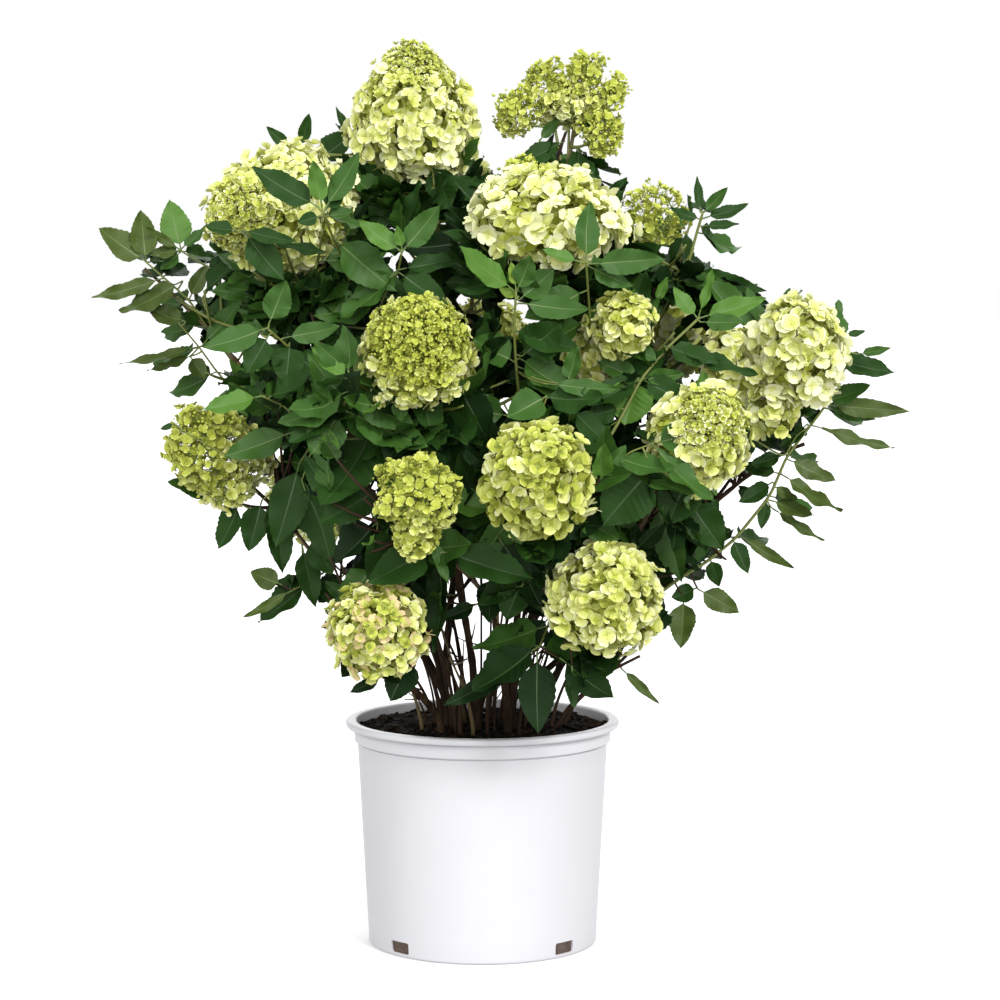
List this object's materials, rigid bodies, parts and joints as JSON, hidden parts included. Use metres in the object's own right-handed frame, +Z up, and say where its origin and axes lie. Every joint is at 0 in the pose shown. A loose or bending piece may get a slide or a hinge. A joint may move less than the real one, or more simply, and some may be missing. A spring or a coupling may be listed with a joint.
{
  "type": "panicle hydrangea in a nursery pot",
  "caption": "Bushy flowering shrub with cream and lime flower cones over dark toothed leaves on slim woody stems, growing in a white tapered nursery pot.",
  "frame": {"origin": "middle of the pot's flat underside", "axes": "+Z up; -Y towards the side that the picture shows; +X to that view's right"},
  "size_m": [0.8258, 0.744, 0.9111],
  "materials": {
    "pot_plastic": "smooth white moulded plastic with a slight sheen",
    "potting_mix": "dark crumbly bark mix",
    "bark": "matt brown bark, finely furrowed",
    "young_wood": "smooth tan to yellow-green young wood",
    "leaf": "dark green, slightly glossy above and paler below",
    "blossom": "soft matt cream flowers",
    "blossom_lime": "soft matt yellow-green flowers and buds",
    "blossom_blush": "soft matt cream flowers with a pink flush"
  },
  "bodies": {
    "root": {"pot": "pot_plastic", "soil": "potting_mix", "stem_1": "bark", "stem_2": "bark", "stem_3": "bark", "stem_4": "bark", "stem_5": "bark", "stem_6": "bark", "stem_7": "bark", "stem_8": "bark", "stem_9": "bark", "stem_10": "bark", "stem_11": "bark", "bough_top_left": "young_wood", "bough_top_right": "young_wood", "bough_upper_left": "young_wood", "bough_upper_centre": "young_wood", "bough_upper_right": "young_wood", "bough_right": "young_wood", "bough_mid_right": "young_wood", "bough_centre": "young_wood", "bough_centre_right": "young_wood", "bough_left": "young_wood", "bough_left_spray": "young_wood", "bough_low_centre": "young_wood", "bough_low_mid": "young_wood", "bough_low_right": "young_wood", "bough_low_left": "young_wood", "bough_right_low": "young_wood", "bough_back_top": "young_wood", "bough_back_upper_left": "young_wood", "bough_back_upper_right": "young_wood", "bough_back_mid": "young_wood", "bough_back_low_left": "young_wood", "bough_back_low_right": "young_wood", "foliage_top_left": "blossom", "foliage_top_right": "blossom_lime", "foliage_upper_left": "blossom", "foliage_upper_centre": "blossom", "foliage_upper_right": "blossom_lime", "foliage_right": "blossom", "foliage_mid_right": "blossom_lime", "foliage_centre": "blossom_lime", "foliage_centre_right": "blossom_lime", "foliage_left": "blossom_lime", "foliage_left_spray": "leaf", "foliage_low_centre": "blossom_lime", "foliage_low_mid": "blossom", "foliage_low_right": "blossom", "foliage_low_left": "blossom_blush", "foliage_right_low": "leaf", "foliage_back_top": "blossom", "foliage_back_upper_left": "blossom_lime", "foliage_back_upper_right": "blossom", "foliage_back_mid": "blossom_lime", "foliage_back_low_left": "blossom", "foliage_back_low_right": "blossom_blush"}
  },
  "joints": []
}
